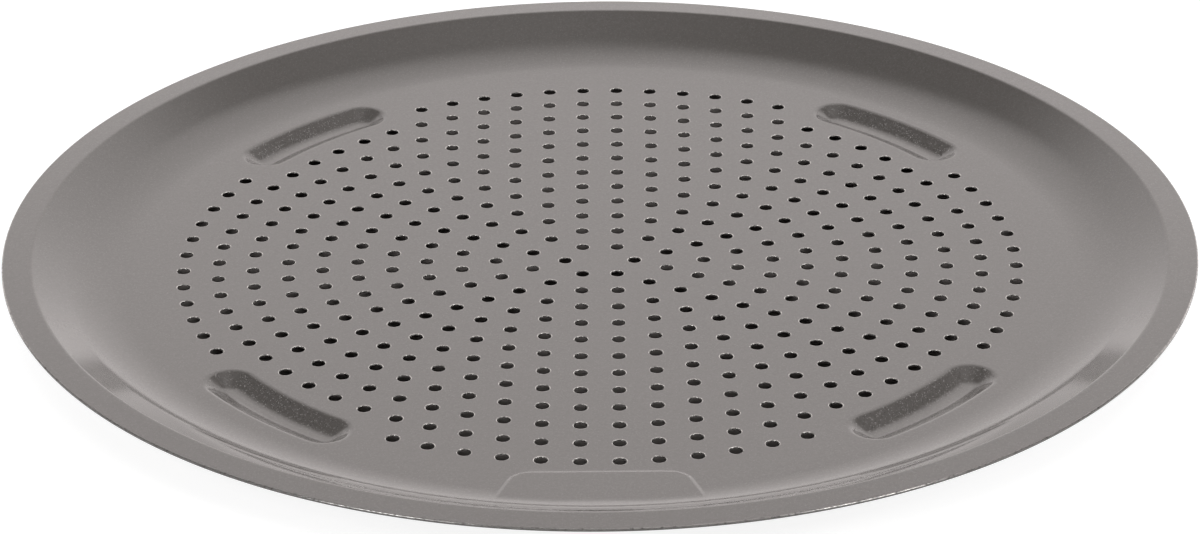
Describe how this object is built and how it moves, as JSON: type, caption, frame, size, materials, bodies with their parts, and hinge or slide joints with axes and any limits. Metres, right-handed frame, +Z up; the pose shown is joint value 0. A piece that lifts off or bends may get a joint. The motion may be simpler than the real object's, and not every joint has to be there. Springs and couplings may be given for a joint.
{
  "type": "pizza pan",
  "caption": "Round perforated pizza pan of coated sheet steel, with a concave wall, a flat hemmed rim and long pressed feet.",
  "frame": {"origin": "centre of the pan, on the plane that its feet stand on", "axes": "+Z up, out of the dish; -Y towards the raised panel at the front of the base"},
  "size_m": [0.4074, 0.4074, 0.0149],
  "materials": {
    "nonstick_steel": "semi-gloss dark grey non-stick coating with a fine metallic fleck"
  },
  "bodies": {
    "root": {"pan_body": "nonstick_steel"}
  },
  "joints": []
}
